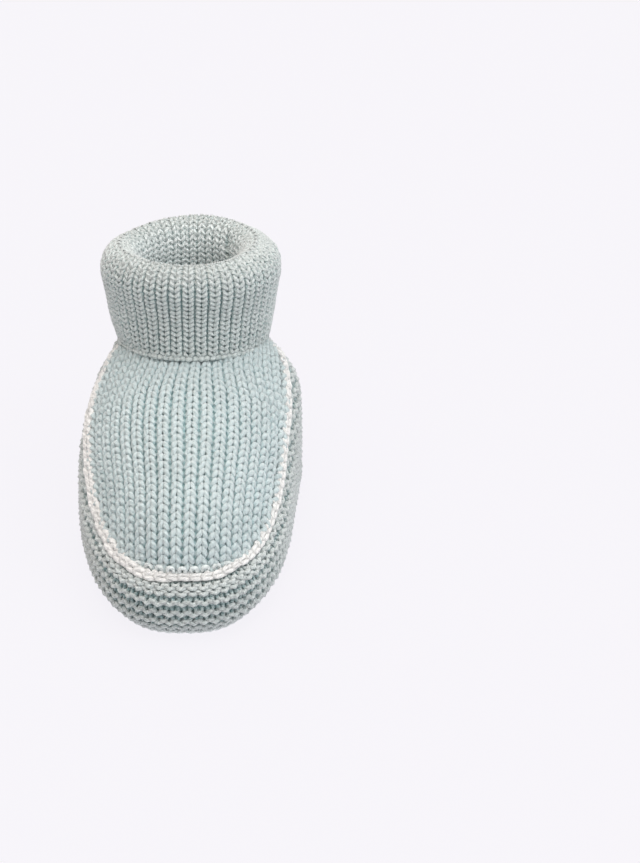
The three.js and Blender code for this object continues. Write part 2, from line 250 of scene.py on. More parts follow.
class Strands:
    """Collects strands and shells for one mesh: corners, faces, yarn coordinates and the value that
    sets the painted shade.
    """

    def __init__(self):
        self.corners = []
        self.quads = []
        self.uvs = []
        self.relief_shade = []
        self.slots = []
        self.count = 0

    def add_quads(self, corners, quads, uvs, relief_shade, slot):
        self.corners.append(corners)
        self.quads.append(quads + self.count)
        self.uvs.append(uvs)
        self.relief_shade.append(relief_shade)
        self.slots.append(np.full(len(quads), slot))
        self.count += len(corners)

    def strand(self, path, normal, radius, relief_shade=None, closed=False, sides=SIDES, slot=0):
        """A round strand along a path. normal keeps its sides from twisting."""
        n = len(path)
        if n < 3:
            return
        if closed:
            tangent = np.roll(path, -1, axis=0) - np.roll(path, 1, axis=0)
        else:
            tangent = np.gradient(path, axis=0)
        tangent /= np.linalg.norm(tangent, axis=1)[:, None] + 1e-9
        side = np.cross(tangent, normal)
        side /= np.linalg.norm(side, axis=1)[:, None] + 1e-9
        up = np.cross(side, tangent)
        angle = np.arange(sides) / sides * TURN
        radius = radius * (1 + rng.normal(0, 0.05, n))
        if not closed:
            radius[0] *= 0.3
            radius[-1] *= 0.3
        ring = (
            up[:, None, :] * np.cos(angle)[None, :, None]
            + side[:, None, :] * np.sin(angle)[None, :, None]
        )
        corners = (path[:, None, :] + ring * radius[:, None, None]).reshape(-1, 3)
        spans = n if closed else n - 1
        i = np.arange(spans)[:, None]
        k = np.arange(sides)[None, :]
        i1 = (i + 1) % n
        k1 = (k + 1) % sides
        quads = np.stack(
            [i * sides + k, i * sides + k1, i1 * sides + k1, i1 * sides + k], axis=-1
        ).reshape(-1, 4)
        steps = np.linalg.norm(np.diff(path, axis=0), axis=1)
        last = np.linalg.norm(path[0] - path[-1])
        length = np.concatenate([[0], np.cumsum(steps), [np.sum(steps) + last]])
        u0 = np.broadcast_to(length[i], (spans, sides))
        u1 = np.broadcast_to(length[i + 1], (spans, sides))
        v0 = np.broadcast_to(k / sides, (spans, sides))
        v1 = np.broadcast_to((k + 1) / sides, (spans, sides))
        uvs = np.stack([
            np.stack([u0, v0], -1), np.stack([u0, v1], -1),
            np.stack([u1, v1], -1), np.stack([u1, v0], -1),
        ], axis=2).reshape(-1, 4, 2)
        if relief_shade is None:
            relief_shade = np.ones(n)
        # Painted shade: lighter on the side of each strand facing away from the fabric, darker on the
        # side against it and where the strand lies deep.
        furrow_shade = np.clip(relief_shade[:, None] + 0.22 * np.cos(angle)[None, :] - 0.1, 0, 1)
        if not closed:
            caps = []
            for end in (0, (n - 1) * sides):
                half = sides // 2
                order = range(half - 1) if end == 0 else range(half - 1)
                for m in order:
                    cap = [end + m, end + m + 1, end + sides - 2 - m, end + sides - 1 - m]
                    caps.append(cap[::-1] if end else cap)
            quads = np.concatenate([quads, np.array(caps)])
            uvs = np.concatenate([uvs, np.zeros((len(caps), 4, 2))])
        self.add_quads(corners, quads, uvs, furrow_shade.ravel(), slot)

    def shell(self, outer, inner, wrap=False, slot=1):
        """Closed backing sheet between two grids of points; it fills the gaps between stitches with
        painted shade.
        """
        rows, columns = outer.shape[:2]
        corners = np.concatenate([outer.reshape(-1, 3), inner.reshape(-1, 3)])
        layer = rows * columns
        spans = rows if wrap else rows - 1
        i = np.arange(spans)[:, None]
        j = np.arange(columns - 1)[None, :]
        i1 = (i + 1) % rows
        face = np.stack([
            i * columns + j + 0 * i1, i1 * columns + j, i1 * columns + j + 1, i * columns + j + 1
        ], axis=-1).reshape(-1, 4)
        quads = [face, face[:, ::-1] + layer]
        for edge in (0, columns - 1):
            a = (np.arange(spans)) * columns + edge
            b = ((np.arange(spans) + 1) % rows) * columns + edge
            rim = np.stack([a, a + layer, b + layer, b], axis=1)
            quads.append(rim if edge == 0 else rim[:, ::-1])
        if not wrap:
            for row in (0, rows - 1):
                a = row * columns + np.arange(columns - 1)
                rim = np.stack([a, a + 1, a + 1 + layer, a + layer], axis=1)
                quads.append(rim if row == 0 else rim[:, ::-1])
        quads = np.concatenate(quads)
        uvs = corners[quads][:, :, :2] / 3.0
        # A low value gives the sheet the wool's painted shade colour.
        self.add_quads(corners, quads, uvs, np.full(len(corners), 0.25), slot)

    def mesh_object(self, name, materials):
        corners = world(np.concatenate(self.corners))
        quads = np.concatenate(self.quads)
        mesh = bpy.data.meshes.new(name)
        mesh.vertices.add(len(corners))
        mesh.vertices.foreach_set("co", corners.astype(np.float32).ravel())
        mesh.loops.add(quads.size)
        mesh.loops.foreach_set("vertex_index", quads.astype(np.int32).ravel())
        mesh.polygons.add(len(quads))
        mesh.polygons.foreach_set("loop_start", np.arange(0, quads.size, 4, dtype=np.int32))
        mesh.polygons.foreach_set("material_index", np.concatenate(self.slots).astype(np.int32))
        mesh.update(calc_edges=True)
        layer = mesh.uv_layers.new(name="yarn")
        layer.data.foreach_set("uv", np.concatenate(self.uvs).astype(np.float32).ravel())
        relief_shade = mesh.attributes.new("relief_shade", "FLOAT", "POINT")
        relief_shade.data.foreach_set("value", np.concatenate(self.relief_shade).astype(np.float32))
        mesh.shade_smooth()
        for material in materials:
            mesh.materials.append(material)
        piece = bpy.data.objects.new(name, mesh)
        bpy.context.scene.collection.objects.link(piece)
        return piece


def wander(t, size, spacing=1.0):
    """Small seeded unevenness that changes from stitch to stitch."""
    place = np.asarray(t, float) / spacing
    low = math.floor(np.min(place)) - 1
    values = rng.normal(0, size, int(np.max(place)) - low + 4)
    share = place - np.floor(place)
    index = np.floor(place).astype(int) - low
    share = share * share * (3 - 2 * share)
    return values[index] * (1 - share) + values[index + 1] * share


def depth_wave(t, feet, legs, head):
    """Front-to-back place of the strand: feet at whole t, legs at quarters, head at the half."""
    wave = np.cos(TURN * t)
    at_feet = np.clip(wave, 0, 1) ** 1.6
    at_head = np.clip(-wave, 0, 1) ** 1.6
    return feet * at_feet + head * at_head + legs * (1 - at_feet - at_head)


# ---- Camera ----------------------------------------------------------------------------

VIEW_ELEVATION = math.radians(30)
VIEW_AZIMUTH = math.radians(0.5)
VIEW_DISTANCE = 1.15
VIEW_HEIGHT = 0.2234593
SENSOR = 36.0
# The camera aims past the bootie, which stands to the left of the picture's middle.
AIM_RIGHT_OF_FOOT = 0.0341015
AIM_ABOVE_FOOT = 0.0125583


def add_camera():
    back = Vector((
        math.sin(VIEW_AZIMUTH) * math.cos(VIEW_ELEVATION),
        -math.cos(VIEW_AZIMUTH) * math.cos(VIEW_ELEVATION),
        math.sin(VIEW_ELEVATION),
    ))
    right = Vector((math.cos(VIEW_AZIMUTH), math.sin(VIEW_AZIMUTH), 0))
    up = back.cross(right)
    foot = Vector(world([0, 50, 18]))
    aim = foot + right * AIM_RIGHT_OF_FOOT + up * AIM_ABOVE_FOOT
    data = bpy.data.cameras.new("camera")
    data.sensor_width = SENSOR
    data.lens = SENSOR * VIEW_DISTANCE / VIEW_HEIGHT
    camera = bpy.data.objects.new("camera", data)
    camera.location = aim + back * VIEW_DISTANCE
    camera.rotation_mode = "QUATERNION"
    camera.rotation_quaternion = (-back).to_track_quat("-Z", "Y")
    data.clip_start, data.clip_end = 0.05, 20
    bpy.context.scene.collection.objects.link(camera)
    bpy.context.scene.camera = camera


add_camera()

# ---- Materials -------------------------------------------------------------------------


def wool(name, light, furrow_shade, twist=0.65, sheen=0.4):
    """Matt plied wool, its own colour on top of the strands; a ramp paints a darker, more teal shade
    into the furrows between them.
    """
    material = bpy.data.materials.new(name)
    material.use_nodes = True
    nodes = material.node_tree.nodes
    links = material.node_tree.links
    shader = nodes["Principled BSDF"]
    shader.inputs["Roughness"].default_value = 0.88
    shader.inputs["Specular IOR Level"].default_value = 0.18
    shader.inputs["Sheen Weight"].default_value = sheen
    shader.inputs["Sheen Roughness"].default_value = 0.55
    shader.inputs["Subsurface Weight"].default_value = 0.5
    shader.inputs["Subsurface Radius"].default_value = (1.0, 1.0, 1.0)
    shader.inputs["Subsurface Scale"].default_value = 0.001
    # Painted shade: a per-corner attribute darkens the furrows and the undersides of the strands
    # towards the shade colour.
    relief_shade = nodes.new("ShaderNodeAttribute")
    relief_shade.attribute_name = "relief_shade"
    ramp = nodes.new("ShaderNodeValToRGB")
    ramp.color_ramp.elements[0].position = 0.1
    ramp.color_ramp.elements[0].color = (*furrow_shade, 1)
    ramp.color_ramp.elements[1].position = 0.8
    ramp.color_ramp.elements[1].color = (*light, 1)
    # Slow change of shade from place to place, and fine flecks of paler fibre.
    place = nodes.new("ShaderNodeTexCoord")
    patches = nodes.new("ShaderNodeTexNoise")
    patches.inputs["Scale"].default_value = 90
    patches.inputs["Detail"].default_value = 3
    links.new(place.outputs["Object"], patches.inputs["Vector"])
    flecks = nodes.new("ShaderNodeTexNoise")
    flecks.inputs["Scale"].default_value = 1900
    flecks.inputs["Detail"].default_value = 2
    links.new(place.outputs["Object"], flecks.inputs["Vector"])
    # The ramp's place mixes the fibre flecks with the painted shade.
    flecks_and_shade = nodes.new("ShaderNodeMath")
    flecks_and_shade.operation = "MULTIPLY_ADD"
    flecks_and_shade.inputs[1].default_value = 1.5
    lower = nodes.new("ShaderNodeMath")
    lower.operation = "SUBTRACT"
    lower.inputs[1].default_value = 0.75
    links.new(flecks.outputs["Fac"], flecks_and_shade.inputs[0])
    links.new(relief_shade.outputs["Fac"], lower.inputs[0])
    links.new(lower.outputs[0], flecks_and_shade.inputs[2])
    links.new(flecks_and_shade.outputs[0], ramp.inputs["Fac"])
    both = nodes.new("ShaderNodeMath")
    both.operation = "ADD"
    links.new(patches.outputs["Fac"], both.inputs[0])
    links.new(flecks.outputs["Fac"], both.inputs[1])
    shade = nodes.new("ShaderNodeMapRange")
    shade.inputs["From Min"].default_value = 0.6
    shade.inputs["From Max"].default_value = 1.4
    shade.inputs["To Min"].default_value = 0.9
    shade.inputs["To Max"].default_value = 1.1
    links.new(both.outputs[0], shade.inputs["Value"])
    tint = nodes.new("ShaderNodeVectorMath")
    tint.operation = "SCALE"
    links.new(ramp.outputs["Color"], tint.inputs[0])
    links.new(shade.outputs["Result"], tint.inputs["Scale"])
    links.new(tint.outputs["Vector"], shader.inputs["Base Color"])
    # Plies run round the strand; the yarn coordinate counts millimetres along it.
    yarn = nodes.new("ShaderNodeUVMap")
    yarn.uv_map = "yarn"
    split = nodes.new("ShaderNodeSeparateXYZ")
    links.new(yarn.outputs["UV"], split.inputs[0])
    around = nodes.new("ShaderNodeMath")
    around.operation = "MULTIPLY"
    around.inputs[1].default_value = 3
    links.new(split.outputs["Y"], around.inputs[0])
    along = nodes.new("ShaderNodeMath")
    along.operation = "MULTIPLY_ADD"
    along.inputs[1].default_value = 1 / 1.6
    links.new(split.outputs["X"], along.inputs[0])
    links.new(around.outputs[0], along.inputs[2])
    turns = nodes.new("ShaderNodeMath")
    turns.operation = "MULTIPLY"
    turns.inputs[1].default_value = TURN
    links.new(along.outputs[0], turns.inputs[0])
    plies = nodes.new("ShaderNodeMath")
    plies.operation = "SINE"
    links.new(turns.outputs[0], plies.inputs[0])
    fibre = nodes.new("ShaderNodeTexNoise")
    fibre.inputs["Scale"].default_value = 2600
    fibre.inputs["Detail"].default_value = 3
    links.new(place.outputs["Object"], fibre.inputs["Vector"])
    height = nodes.new("ShaderNodeMath")
    height.operation = "MULTIPLY_ADD"
    height.inputs[1].default_value = 0.35
    links.new(plies.outputs[0], height.inputs[0])
    links.new(fibre.outputs["Fac"], height.inputs[2])
    bump = nodes.new("ShaderNodeBump")
    bump.inputs["Strength"].default_value = twist
    bump.inputs["Distance"].default_value = 0.0004
    links.new(height.outputs[0], bump.inputs["Height"])
    links.new(bump.outputs["Normal"], shader.inputs["Normal"])
    return material


# Each wool gives the yarn's colour on top of the strands and a darker, more teal painted shade for
# its furrows.
garter_wool = wool("garter_wool", (0.605, 0.655, 0.645), (0.24, 0.375, 0.385))
instep_wool = wool("instep_wool", (0.57, 0.655, 0.665), (0.40, 0.575, 0.60))
rib_wool = wool("rib_wool", (0.645, 0.70, 0.685), (0.27, 0.42, 0.425))
# Paler copies of the rib wool, painted light, for the rows that turn down into the inside of the leg.
fold_painted_light_wool = wool("fold_painted_light_wool", (0.77, 0.835, 0.825), (0.44, 0.60, 0.60))
inner_painted_light_wool = wool("inner_painted_light_wool", (0.92, 0.98, 0.97), (0.68, 0.83, 0.83))
# Backing sheet colours: the painted shade seen through the gaps between stitches. This paler copy is
# for the leg and the inside of the sole.
leg_backing_shade_wool = wool("leg_backing_shade_wool", (0.56, 0.70, 0.69), (0.44, 0.58, 0.57), sheen=0.0)
white_wool = wool("white_wool", (0.95, 0.94, 0.915), (0.76, 0.76, 0.74), sheen=0.3)
# A paler copy of the teal wool, painted light, for the band's rolled lower edge and the toe's
# bind-off loops.
painted_light_wool = wool("painted_light_wool", (0.77, 0.83, 0.82), (0.50, 0.61, 0.60))
seam_wool = wool("seam_wool", (0.60, 0.67, 0.65), (0.30, 0.42, 0.41))
# Backing sheet colour: the darker painted shade seen through the gaps between stitches.
backing_shade_wool = wool("backing_shade_wool", (0.48, 0.64, 0.64), (0.36, 0.52, 0.52), sheen=0.0)

# ---- Side band: garter stitch round the foot -------------------------------------------

STATIONS = 960
plan, plan_inward, perimeter = outline(STATIONS)
rim = top_edge(plan, plan_inward)


def wall_grid(heights):
    """Wall points [station, level] at these heights above the floor."""
    top = rim[:, None, :]
    z = np.broadcast_to(np.asarray(heights, float)[None, :], (STATIONS, len(heights)))
    share = z / top[..., 2]
    gather = np.clip((share - WALL_UPRIGHT_SHARE) / (1 - WALL_UPRIGHT_SHARE), 0, 1.05)
    gather = gather ** SHOULDER_POWER
    tuck = BOTTOM_TUCK * np.clip(1 - z / BOTTOM_TUCK_HEIGHT, 0, 1) ** 2.2
    point = np.zeros((*z.shape, 3))
    for axis in (0, 1):
        base = plan[:, axis][:, None]
        point[..., axis] = (
            base
            + plan_inward[:, axis][:, None] * tuck
            + (top[..., axis] - base) * gather
        )
    point[..., 2] = z
    return point


# Distance up the wall, which is longer than the height where the wall tucks in below.
fine_z = np.linspace(0, 46, 921)
fine_tuck = BOTTOM_TUCK * np.clip(1 - fine_z / BOTTOM_TUCK_HEIGHT, 0, 1) ** 2.2
fine_up = np.concatenate([[0], np.cumsum(np.hypot(np.diff(fine_z), np.diff(fine_tuck)))])
WALL_STEP = 0.5
wall_ups = np.arange(0, fine_up[-1], WALL_STEP)
wall = Cloth(
    wall_grid(np.interp(wall_ups, fine_up, fine_z)),
    (0.0, 0.0),
    (perimeter / STATIONS, WALL_STEP),
    wrap=True,
    flip=True,
)
rim_up = np.interp(rim[:, 2], fine_z, fine_up)


def rim_at(along):
    """Distance up the wall to the rim, this far round the foot."""
    return np.interp(along % perimeter, np.arange(STATIONS) * perimeter / STATIONS, rim_up)


def runs(mask):
    """Start and end of each unbroken run of True."""
    edges = np.flatnonzero(np.diff(np.concatenate([[0], mask.astype(int), [0]])))
    return edges.reshape(-1, 2)


def garter_row(t, ridge, front):
    """Height and depth of one garter row. A ridge row hangs broad loops in front of the
    fabric; the row below it holds them with its own heads."""
    wave = np.cos(TURN * t)
    if ridge:
        reach = np.where(wave > 0, 1.5, 0.9)
        depth = depth_wave(t, front, -0.15, -front)
    else:
        reach = np.where(wave > 0, 0.9, 0.8)
        depth = depth_wave(t, -front, -0.15, 0.7 * front)
    return -reach * wave, depth


def side_band():
    strands = Strands()
    radius = 0.62
    stitches = round(perimeter / GARTER_STITCH)
    width = perimeter / stitches
    t = np.arange(stitches * 9) / 9
    seam_gap = 0.35
    rows = int((fine_up[-1] - 1.2) / GARTER_ROW)
    for row in range(rows):
        height, depth = garter_row(t, row % 2 == 0, 0.8)
        lift = -1.45 + depth + wander(t, 0.05)
        x = t + 0.2 * np.sin(2 * TURN * t) + wander(t, 0.03)
        y = 2.2 + row * GARTER_ROW + height * (1 + wander(t, 0.05)) + wander(t, 0.07, 4)
        limit = rim_at(x * width)
        inside = (limit - y > 1.1) & (t > seam_gap) & (t < stitches - seam_gap)
        path, normal = wall.at(x * width, y, lift)
        # Painted shade: strands lying deeper in the fabric are coloured darker.
        relief_shade = 0.5 + lift_share(lift, -2.1, -0.75)
        for start, end in runs(inside):
            strands.strand(path[start:end], normal[start:end], radius, relief_shade[start:end], sides=5)
    # The last ridge follows the edge, under the chain.
    for below, ridge in ((1.55, False), (0.75, True)):
        height, depth = garter_row(t, ridge, 0.8)
        x = t + 0.2 * np.sin(2 * TURN * t) + wander(t, 0.03)
        limit = rim_at(x * width)
        y = np.minimum(limit - below + 0.62 * height * (1 + wander(t, 0.05)), limit + 0.1)
        lift = -1.0 + 0.8 * depth + wander(t, 0.04)
        path, normal = wall.at(x * width, y, lift)
        # Painted shade: strands lying deeper in the fabric are coloured darker.
        relief_shade = 0.5 + lift_share(lift, -2.1, -0.6)
        inside = (t > seam_gap) & (t < stitches - seam_gap)
        for start, end in runs(inside):
            strands.strand(path[start:end], normal[start:end], 0.6, relief_shade[start:end], sides=5)
    # Rolled lower edge of the band, in the paler wool and at full relief: painted light, as if lit
    # from the floor below.
    t = np.arange(stitches * 10) / 10
    path, normal = wall.at(t * width, 0.75 + 0.25 * np.cos(TURN * t), -0.6 + 0.12 * np.sin(TURN * t))
    strands.strand(path, normal, 0.66, np.ones(len(t)), closed=True, slot=2)
    # Backing sheet behind the band, in the painted shade colour of the gaps.
    levels = np.linspace(0, 1, 24)[None, :] * (rim_up[::4, None] - 0.9) + 0.4
    stations = np.arange(0, STATIONS, 4)[:, None] * perimeter / STATIONS + 0 * levels
    outer, _ = wall.at(stations, levels, np.full(levels.shape, -1.95))
    inner, _ = wall.at(stations, levels, np.full(levels.shape, -2.6))
    strands.shell(outer, inner, wrap=True)
    return strands.mesh_object("side_band_knit", [garter_wool, backing_shade_wool, painted_light_wool])


def lift_share(lift, low, high):
    return np.clip((lift - low) / (high - low), 0, 1) - 0.5


# ---- Instep: stockinette over the top of the foot ---------------------------------------

toe_index = int(np.argmin(rim[:, 1]))
right_seam = rim[: toe_index + 1][::-1]
left_seam = rim[toe_index:]
toe_top = rim[toe_index]


def row_end(side, y_middle):
    """Where the row that crosses the middle at y_middle meets the seam on one side."""
    progress = (y_middle - toe_top[1]) / INSTEP_LENGTH
    wide = np.abs(side[:, 0] - middle(0.0)) > TOE_ROW_HALF_WIDTH
    if progress <= 0:
        return side[int(np.argmax(wide))]
    curl = 0.034 * (1 - progress) + 0.012 * progress
    meets = wide & (y_middle + curl * (side[:, 0] - middle(y_middle)) ** 2 <= side[:, 1])
    k = int(np.argmax(meets | (side[:, 1] > 84)))
    return side[k]


def instep_row(y_middle, shares):
    """Points of one row at signed shares of the way to the seam."""
    progress = max(0.0, (y_middle - toe_top[1]) / INSTEP_LENGTH)
    crown = SEAM_TOE_HEIGHT + INSTEP_RISE * progress ** 0.42
    x0 = float(middle(y_middle))
    out = np.zeros((len(shares), 3))
    for sign, side in ((-1, left_seam), (1, right_seam)):
        end = row_end(side, y_middle)
        mine = (np.sign(shares) == sign) | ((shares == 0) & (sign == 1))
        share = np.abs(shares[mine])
        arch = (1 - np.clip(share, 0, 1) ** 2.2) ** 0.75
        out[mine, 0] = x0 + (end[0] - x0) * share
        out[mine, 1] = y_middle + (end[1] - y_middle) * share ** 2
        out[mine, 2] = end[2] + (crown - end[2]) * arch
    return out


INSTEP_HALF = 36.0
INSTEP_GRID = 0.6
# The stitches are squeezed where the panel falls away at its sides.
ACROSS_WEIGHTS = np.array([1.0, 0.8, 0.8])


def instep_cloth():
    """Instep surface by distance along each row and by distance along the middle line."""
    ys = toe_top[1] + (84 - toe_top[1]) * np.linspace(0, 1, 150) ** 1.6
    shares = np.sin(np.linspace(-1, 1, 161) * math.pi / 2)
    rows = np.array([instep_row(y, shares) for y in ys])
    centre = rows[:, 80]
    along = np.concatenate([[0], np.cumsum(np.linalg.norm(np.diff(centre, axis=0), axis=1))])
    even = np.arange(0, along[-1], INSTEP_GRID)
    rows = np.stack([
        np.stack([np.interp(even, along, rows[:, i, c]) for c in range(3)], axis=1)
        for i in range(rows.shape[1])
    ], axis=1)
    across = np.arange(-INSTEP_HALF, INSTEP_HALF + 0.01, INSTEP_GRID)
    grid = np.zeros((len(across), len(even), 3))
    reach = np.zeros((len(even), 2))
    for j, row in enumerate(rows):
        step = np.linalg.norm(np.diff(row, axis=0) * ACROSS_WEIGHTS, axis=1)
        distance = np.concatenate([[0], np.cumsum(step)])
        distance -= distance[80]
        for c in range(3):
            grid[:, j, c] = np.interp(across, distance, row[:, c])
        reach[j] = (-distance[0], distance[-1])
    # Past the seam the rows carry on level and inwards, so that the surface stays regular.
    for j in range(len(even)):
        left = across < -reach[j, 0]
        right = across > reach[j, 1]
        grid[left, j, 2] -= (-across[left] - reach[j, 0])
        grid[right, j, 2] -= (across[right] - reach[j, 1])
    return Cloth(grid, (-INSTEP_HALF, 0.0), (INSTEP_GRID, INSTEP_GRID)), even, reach, rows


instep_surface, instep_even, instep_reach, instep_rows = instep_cloth()

# On each side one column is knitted away here, counted from the middle groove.
DECREASE_COLUMN = 5
DECREASE_FROM = 16.0
DECREASE_TO = 9.0
ROW_CURL = 0.013


def column_place(t, up):
    """Distance across of column coordinate t on the row at this distance up the middle."""
    half = np.interp(up, instep_even, instep_reach.mean(axis=1))
    # The panel is widest over the middle of the foot and gathered in at the ankle.
    stitch = INSTEP_STITCH + 0.42 * np.exp(-(((up - 47) / 16) ** 2)) - 0.7 * smooth(up, 58, 74)
    size = np.abs(t)
    narrow = smooth(up, DECREASE_TO, DECREASE_FROM)
    through = np.clip(size - DECREASE_COLUMN, 0, 1)
    counted = size - through * (1 - narrow)
    drawn_in = 1 - 0.0062 * counted ** 2 * (1 - smooth(up, 0, 10))
    spread = np.clip(half - INSTEP_HALF_COLUMNS * stitch, -3.0, 3.0)
    spread = spread * smooth(up, 12, 30) * (counted / INSTEP_HALF_COLUMNS) ** 3
    return np.sign(t) * (counted * stitch * drawn_in + spread)


def row_drop(across, up):
    """How far a row of stitches lies below the line of even distance up the middle."""
    progress = np.clip(np.asarray(up, float) / instep_even[-1], 0, 1)
    curl = 0.034 * (1 - progress) + 0.012 * progress
    return np.clip(curl - ROW_CURL, 0, None) * across ** 2 * 1.15


def instep():
    strands = Strands()
    radius = 0.76
    length = instep_even[-1]
    rows = int((length - 1.4) / INSTEP_ROW)
    for row in range(rows):
        up = 2.6 + row * INSTEP_ROW
        t = np.arange(-11 * SAMPLES, 11 * SAMPLES + 1) / SAMPLES
        if up < DECREASE_TO + 1:
            size = np.abs(t)
            t = t[(size <= DECREASE_COLUMN) | (size > DECREASE_COLUMN + 1)]
        loose = 1 + wander(t, 0.06)
        x = t + 0.22 * np.sin(2 * TURN * t) + 0.07 * np.sin(TURN * t) + wander(t, 0.018)
        y = up + 1.72 * loose * np.cos(TURN * t) + wander(t, 0.09)
        lift = -1.3 + depth_wave(t, -0.6, 0.6, -0.6) + wander(t, 0.06)
        across = column_place(x, y)
        y = y - row_drop(across, up)
        middle_up = up - row_drop(across, up)
        limits = [np.interp(middle_up, instep_even, instep_reach[:, k]) for k in (0, 1)]
        # The outer columns come up to the seam and run under its chain.
        edge = np.minimum(across + limits[0], limits[1] - across)
        lift = lift + 0.75 * (1 - smooth(edge, 0, 3.5))
        inside = (edge > -0.3) & (middle_up > 0.3)
        path, normal = instep_surface.at(across, np.clip(y, 0, length), lift)
        # Painted shade: strands lying deeper in the fabric are coloured darker.
        relief_shade = 0.5 + lift_share(lift, -1.9, -0.7)
        for start, end in runs(inside):
            strands.strand(path[start:end], normal[start:end], radius, relief_shade[start:end])
    # Backing sheet under the instep, in the painted shade colour of the gaps.
    share = np.sin(np.linspace(-1, 1, 61) * math.pi / 2) * 0.97
    index = np.linspace(1, len(instep_even) - 2, 70).astype(int)
    grid = np.stack([
        np.stack([np.interp(share, np.sin(np.linspace(-1, 1, 161) * math.pi / 2),
                            instep_rows[j][:, c]) for c in range(3)], axis=1)
        for j in index
    ], axis=1)
    cloth = Cloth(grid, (0, 0), (1, 1))
    strands.shell(grid - cloth.normals * 1.6, grid - cloth.normals * 2.8)
    return strands.mesh_object("instep_knit", [instep_wool, backing_shade_wool])


# ---- Leg and turned cuff: one rib tube, folded over at the top ---------------------------


def curve_through(points, step):
    """Even points along a smooth curve through a few."""
    points = np.asarray(points, float)
    before = 2 * points[0] - points[1]
    after = 2 * points[-1] - points[-2]
    knots = np.concatenate([[before], points, [after]])
    out = []
    for k in range(len(points) - 1):
        a, b, c, d = knots[k : k + 4]
        for s in np.linspace(0, 1, 16, endpoint=False):
            out.append(0.5 * (2 * b + (c - a) * s + (2 * a - 5 * b + 4 * c - d) * s ** 2
                              + (3 * b - a - 3 * c + d) * s ** 3))
    out.append(points[-1])
    out = np.array(out)
    along = np.concatenate([[0], np.cumsum(np.linalg.norm(np.diff(out, axis=0), axis=1))])
    count = int(along[-1] / step)
    even = np.linspace(0, along[-1], count + 1)
    return np.stack([np.interp(even, along, out[:, k]) for k in (0, 1)], axis=1), along[-1]


# Middle of the fabric as (radius, distance along the leg): hem, outside, fold, inside, ankle.
OUTSIDE = [
    (20.2, 1.0), (20.4, 4), (20.6, 8), (21.2, 12), (22.0, 16), (22.6, 19.5),
    (22.5, 22.4), (21.2, 24.9), (18.7, 26.2),
]
INSIDE = [
    (18.7, 26.2), (16.6, 25.2), (15.3, 23.2), (15.0, 20.6), (15.3, 17.6), (16.1, 12), (16.7, 6),
    (17.0, 0.6),
]
RIB_GRID = 0.4
RIB_STATIONS = 504
LEG_SEAM_ANGLE = math.radians(138)


def side_share(angle):
    """How much the cuff is drawn in at this angle: most on the left, less on the right."""
    side = np.sin(angle)
    return np.abs(side) ** 1.5 * np.where(side > 0, 0.6, 1.0)


def hem_dip(angle):
    """The hem hangs lower at the heel, down to the top of the side band."""
    return 1.5 * (0.5 - 0.5 * np.cos(angle))


def rib_cloth(profile, rolled, tuck):
    """Middle surface of the rib. The roll is thicker on the right, between the two
    distances in rolled; the lowest rows are drawn in at the sides by tuck."""
    line, length = curve_through(profile, RIB_GRID)
    angle = np.arange(RIB_STATIONS) / RIB_STATIONS * TURN
    radius = line[None, :, 0] + 0 * angle[:, None]
    along = line[None, :, 1] + 0 * angle[:, None]
    # The fold is lower in front and a little at the back left, and not quite round.
    high = smooth(along, 8, 24)
    right = np.clip(np.sin(angle), 0, 1)[:, None]
    drawn = 1.5 * right * smooth(along, *rolled)
    drawn += tuck * (1 - smooth(along, 0, 9)) * side_share(angle)[:, None]
    # The seam of the leg is a crease on the inside.
    crease = 1.2 * np.exp(-(((angle[:, None] - LEG_SEAM_ANGLE) / 0.05) ** 2))
    drawn = drawn - crease * (smooth(along, 12, 16) - smooth(along, 22, 25)) * (rolled[0] < 20)
    droop = 1.3 * np.exp(-(((angle[:, None] - 4.1) / 0.75) ** 2))
    droop += 0.5 * np.exp(-(((angle[:, None] - 2.3) / 0.5) ** 2))
    droop += 1.7 * (0.5 + 0.5 * np.cos(angle[:, None])) ** 1.5
    droop -= 0.9 * (0.5 - 0.5 * np.cos(angle[:, None])) ** 1.5
    along = along - high * droop
    along = along - (1 - smooth(along, 0, 12)) * hem_dip(angle)[:, None] * (rolled[0] > 20)
    radius = radius + high * (0.25 * np.cos(2 * angle + 0.6) + 0.15 * np.sin(3 * angle))[:, None]
    radius = radius - drawn
    points = on_leg(radius, along, np.sin(angle)[:, None], np.cos(angle)[:, None])
    step = length / (len(line) - 1)
    return Cloth(points, (0.0, 0.0), (TURN / RIB_STATIONS, step), wrap=True), length


def rib_angle(t):
    """Angle round the leg for stitch coordinate t; even stitches are knit and wide."""
    pair = np.floor(t / 2)
    rest = t - 2 * pair
    knit = np.clip(rest, 0, 1) * RIB_KNIT_SHARE
    purl = np.clip(rest - 1, 0, 1) * (1 - RIB_KNIT_SHARE)
    return (pair + knit + purl) / RIB_PAIRS * TURN


